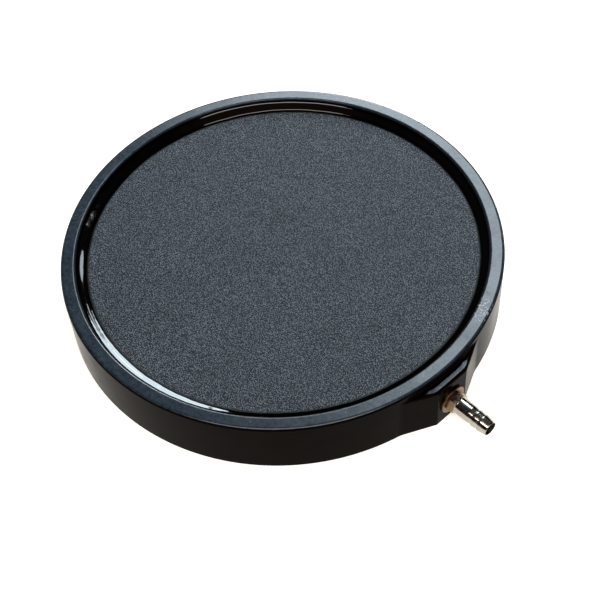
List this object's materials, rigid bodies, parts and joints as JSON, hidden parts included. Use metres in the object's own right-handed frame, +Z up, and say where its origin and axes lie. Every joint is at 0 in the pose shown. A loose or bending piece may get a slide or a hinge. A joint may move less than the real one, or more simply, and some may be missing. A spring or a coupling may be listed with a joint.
{
  "type": "air stone",
  "caption": "Round pond air stone: a porous plate bonded in a shallow moulded tray, fed through a metal hose barb on the side.",
  "frame": {"origin": "centre of the round tray on the plane that its base rests on", "axes": "+Z up out of the porous plate, +X along the inlet towards the tip of the hose barb"},
  "size_m": [0.2261, 0.2, 0.0284],
  "materials": {
    "tray_plastic": "black moulded plastic with a soft gloss",
    "porous_stone": "fine sintered grains, matt blue-grey",
    "resin": "cast black resin, wet gloss",
    "insert_brass": "turned brass, lightly plated",
    "ring_rubber": "black nitrile rubber",
    "plated_metal": "bright nickel plate on turned brass"
  },
  "bodies": {
    "root": {"casing": "tray_plastic", "porous_plate": "porous_stone", "bedding_seal": "resin", "surface_seal": "resin", "threaded_insert": "insert_brass", "sealing_ring": "ring_rubber", "hose_barb": "plated_metal"}
  },
  "joints": []
}
